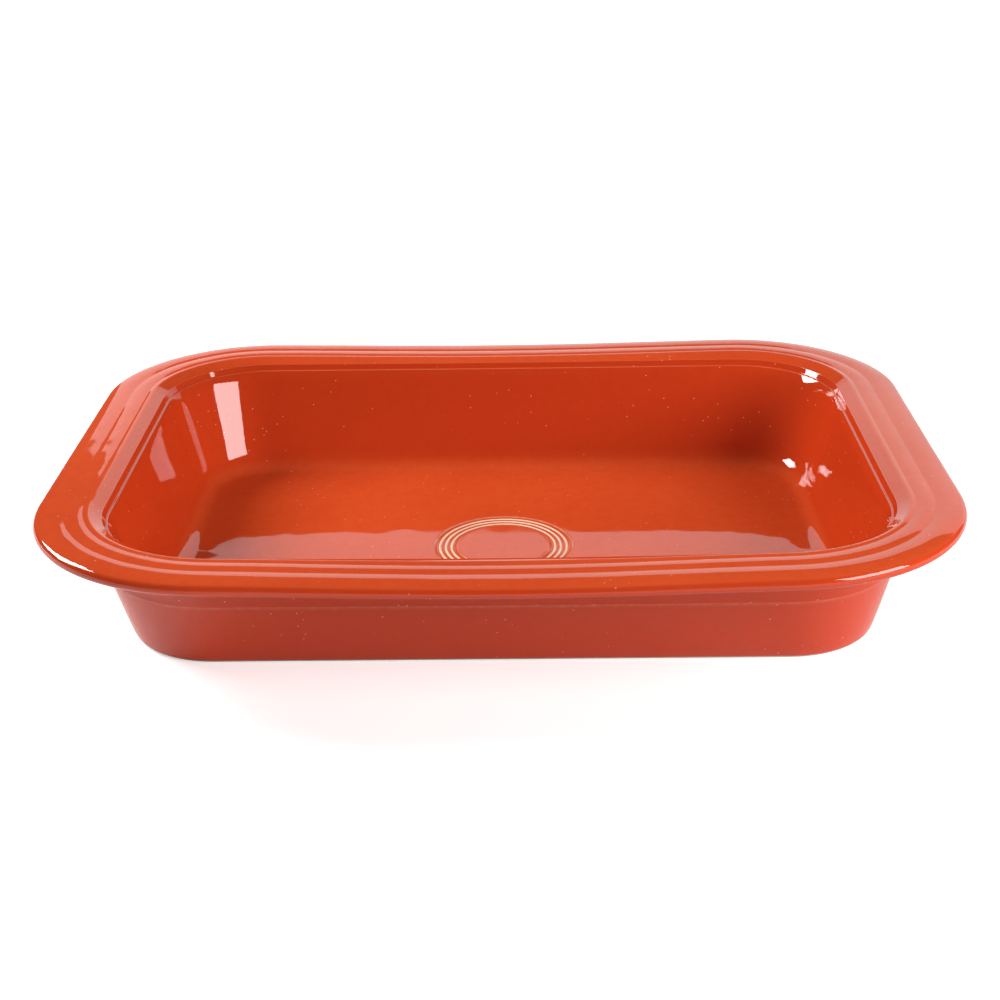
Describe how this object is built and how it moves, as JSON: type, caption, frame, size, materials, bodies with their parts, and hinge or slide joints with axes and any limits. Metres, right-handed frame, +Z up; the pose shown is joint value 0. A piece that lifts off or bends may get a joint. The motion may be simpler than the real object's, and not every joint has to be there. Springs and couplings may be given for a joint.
{
  "type": "lasagna dish",
  "caption": "Shallow rectangular ceramic baking dish with rounded corners, a wide banded rim, an inner lip and ledge, tapered walls and a ring ornament on its floor.",
  "frame": {"origin": "middle of the foot's plane, under the centre of the dish", "axes": "+X along the length, +Y along the width and away from the side seen in the picture, +Z up out of the dish"},
  "size_m": [0.375, 0.28, 0.057],
  "materials": {
    "bare_clay": "dry, unglazed, fine grained",
    "glaze": "glossy orange-red glaze, paler where it runs thin on sharp ridges"
  },
  "bodies": {
    "root": {"clay_body": "bare_clay", "glaze_coat": "glaze", "base_glaze": "glaze"}
  },
  "joints": []
}
